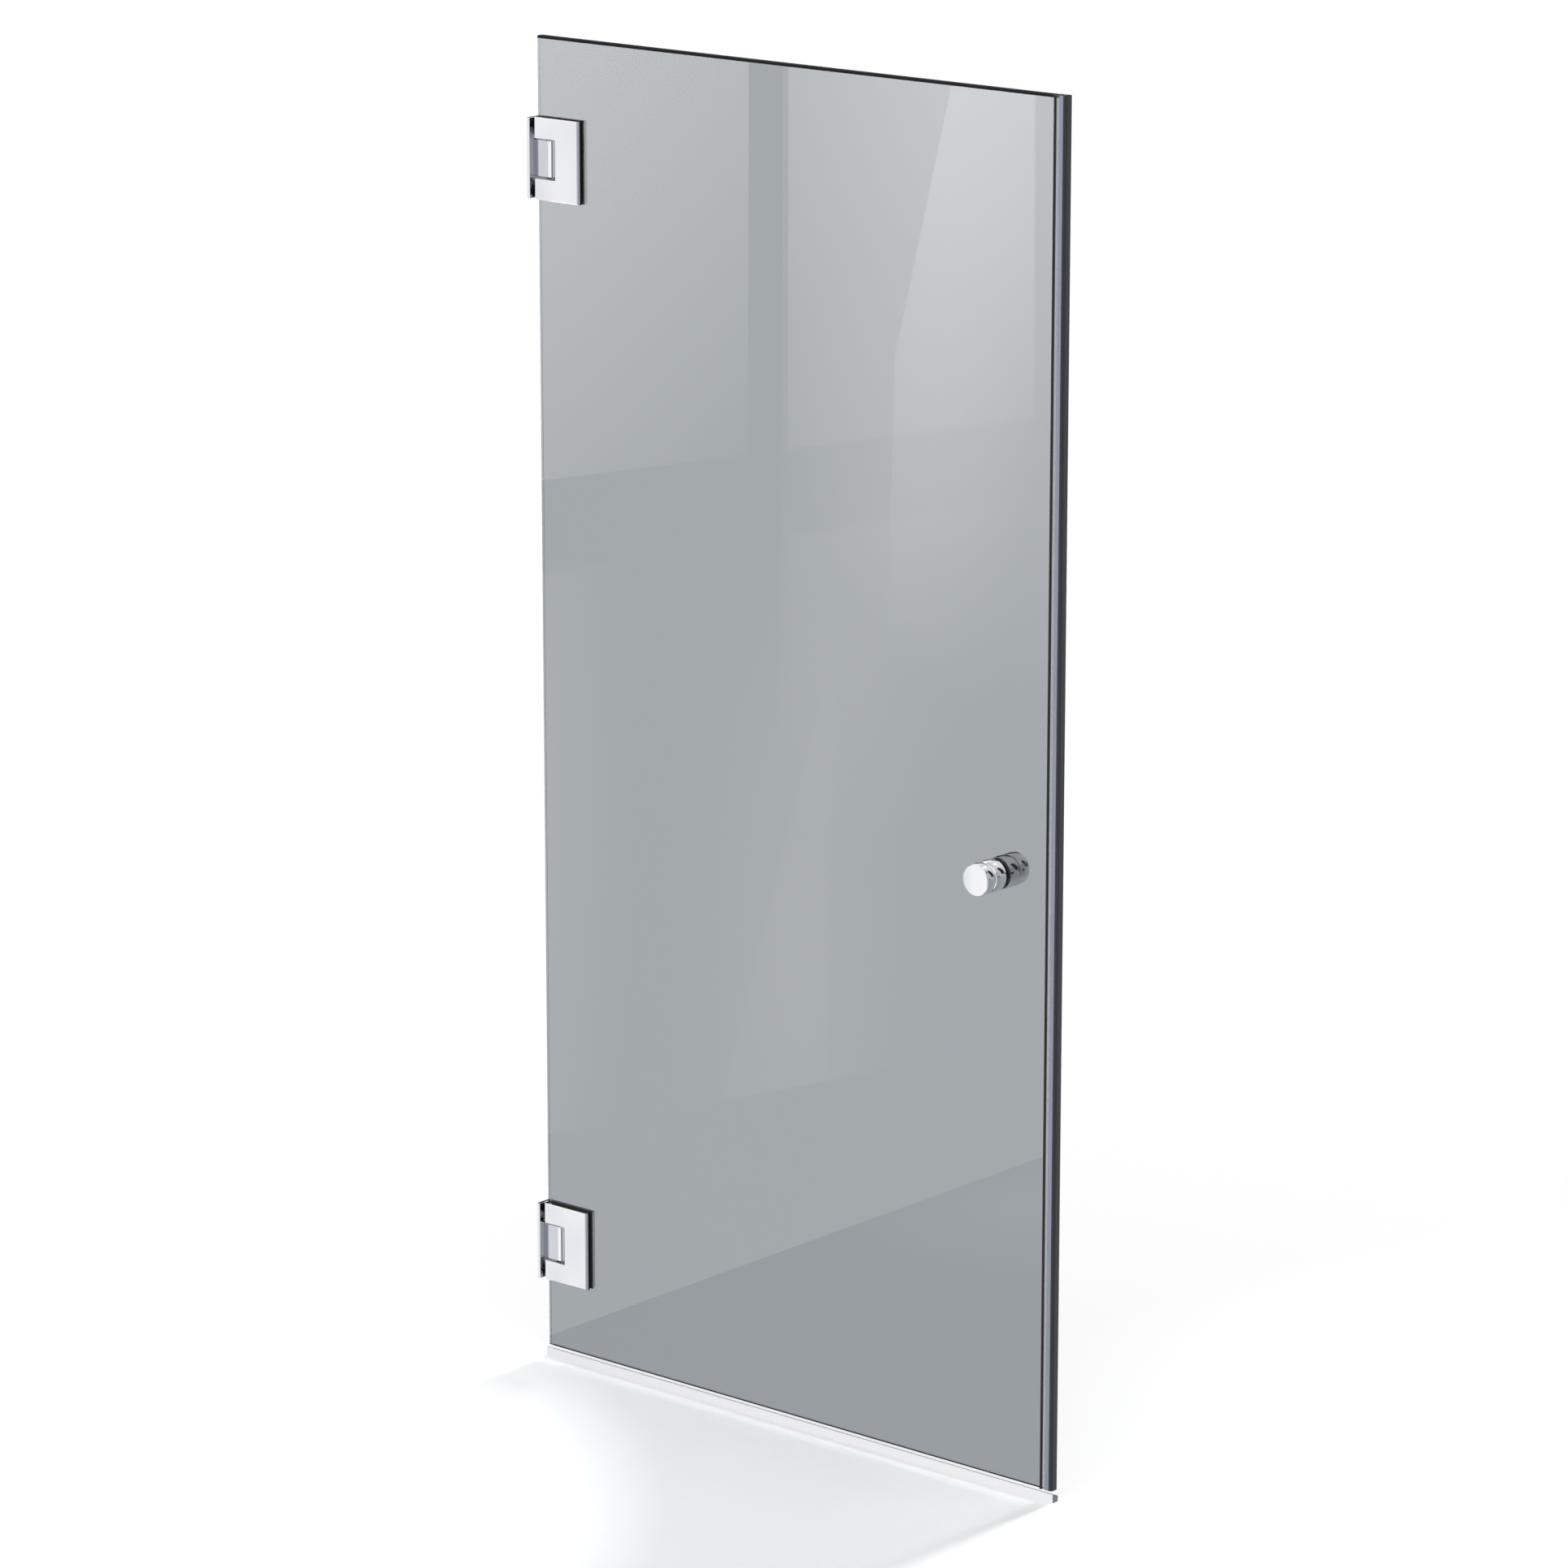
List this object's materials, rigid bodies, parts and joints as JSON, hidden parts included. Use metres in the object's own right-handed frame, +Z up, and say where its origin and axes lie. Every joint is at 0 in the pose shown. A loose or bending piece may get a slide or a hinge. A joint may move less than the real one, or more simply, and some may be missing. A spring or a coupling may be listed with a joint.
{
  "type": "hinged glass shower door",
  "caption": "Frameless toughened glass leaf hung from a wall on clamp hinges, with a knob each side, a closing seal and a threshold bar.",
  "frame": {"origin": "centre of the back face of the lower hinge's wall plate, on the wall", "axes": "+X from the wall to the closing edge, +Y to the back of the door, +Z up"},
  "size_m": [0.916, 0.092, 1.867],
  "materials": {
    "grey_glass": "clear grey toughened glass with ground edges",
    "polished_chrome": "chrome plated brass, mirror polished",
    "pin_steel": "ground stainless steel",
    "black_gasket": "black rubber",
    "clear_nylon": "natural nylon",
    "clear_seal": "clear extruded plastic",
    "dark_seal": "dark soft extruded rubber",
    "bright_aluminium": "bright drawn aluminium with sawn ends"
  },
  "bodies": {
    "wall_side": {"lower_wall_plate": "polished_chrome", "lower_pivot_block": "polished_chrome", "upper_wall_plate": "polished_chrome", "upper_pivot_block": "polished_chrome", "threshold_bar": "bright_aluminium"},
    "door_leaf": {"door_glass": "grey_glass", "lower_pivot_pin": "pin_steel", "lower_front_clamp_plate": "polished_chrome", "lower_back_clamp_plate": "polished_chrome", "lower_front_gasket": "black_gasket", "lower_back_gasket": "black_gasket", "upper_pivot_pin": "pin_steel", "upper_front_clamp_plate": "polished_chrome", "upper_back_clamp_plate": "polished_chrome", "upper_front_gasket": "black_gasket", "upper_back_gasket": "black_gasket", "outer_knob": "polished_chrome", "inner_knob": "polished_chrome", "outer_knob_bush": "clear_nylon", "inner_knob_bush": "clear_nylon", "knob_stud": "pin_steel", "closing_seal_channel": "clear_seal", "closing_seal_nose": "dark_seal"}
  },
  "joints": [
    {"name": "door_swing", "type": "hinge", "parent": "wall_side", "child": "door_leaf", "pos_m": [0.034, 0, 0.765], "axis": [0, 0, 1], "range_deg": [-88, 88]}
  ]
}
